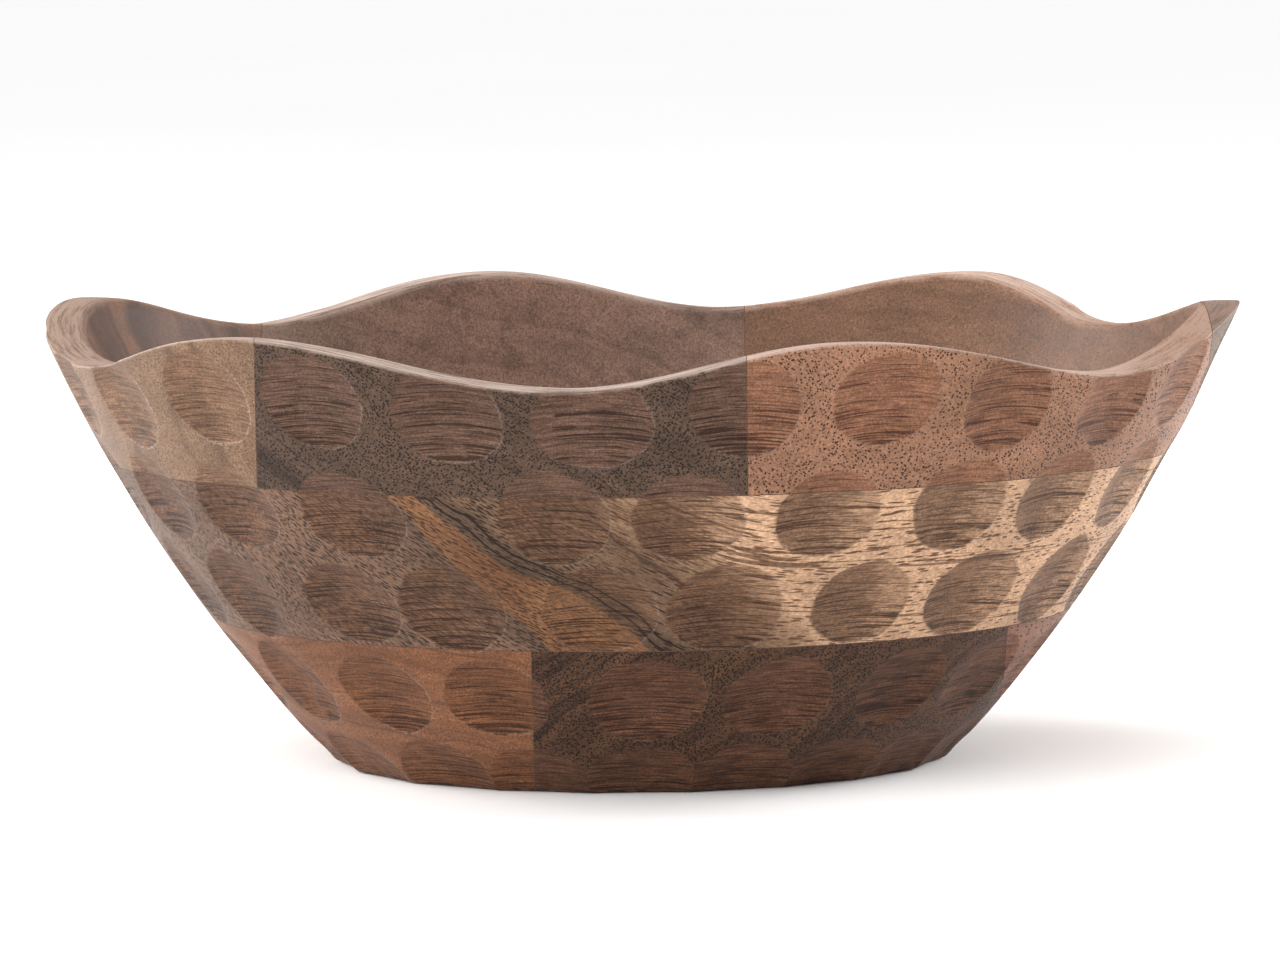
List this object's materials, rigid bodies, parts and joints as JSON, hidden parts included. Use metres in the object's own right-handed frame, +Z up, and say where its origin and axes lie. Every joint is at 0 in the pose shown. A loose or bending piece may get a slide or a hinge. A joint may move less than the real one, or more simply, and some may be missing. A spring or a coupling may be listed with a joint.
{
  "type": "wooden serving bowl",
  "caption": "Laminated wooden bowl with a wavy rim and rows of gouged hollows round the outside.",
  "frame": {"origin": "centre of the flat base the bowl stands on", "axes": "+Z up out of the bowl's mouth, -Y towards the front, +X to the right seen from the front"},
  "size_m": [0.3024, 0.2983, 0.1162],
  "materials": {
    "tan_wood": "satin",
    "grey_brown_wood": "satin",
    "dark_brown_wood": "satin",
    "salmon_wood": "satin",
    "striped_wood": "satin",
    "blonde_wood": "satin",
    "glue": "matte"
  },
  "bodies": {
    "root": {"upper_left_board": "tan_wood", "upper_centre_front_board": "grey_brown_wood", "upper_centre_back_board": "dark_brown_wood", "upper_right_board": "salmon_wood", "upper_right_tip": "tan_wood", "middle_front_board": "striped_wood", "middle_left_board": "grey_brown_wood", "middle_right_board": "blonde_wood", "middle_back_board": "grey_brown_wood", "lower_left_board": "salmon_wood", "lower_centre_board": "dark_brown_wood", "lower_right_board": "dark_brown_wood", "upper_board_glue": "glue", "middle_board_glue": "glue", "lower_board_glue": "glue", "upper_course_glue": "glue", "lower_course_glue": "glue"}
  },
  "joints": []
}
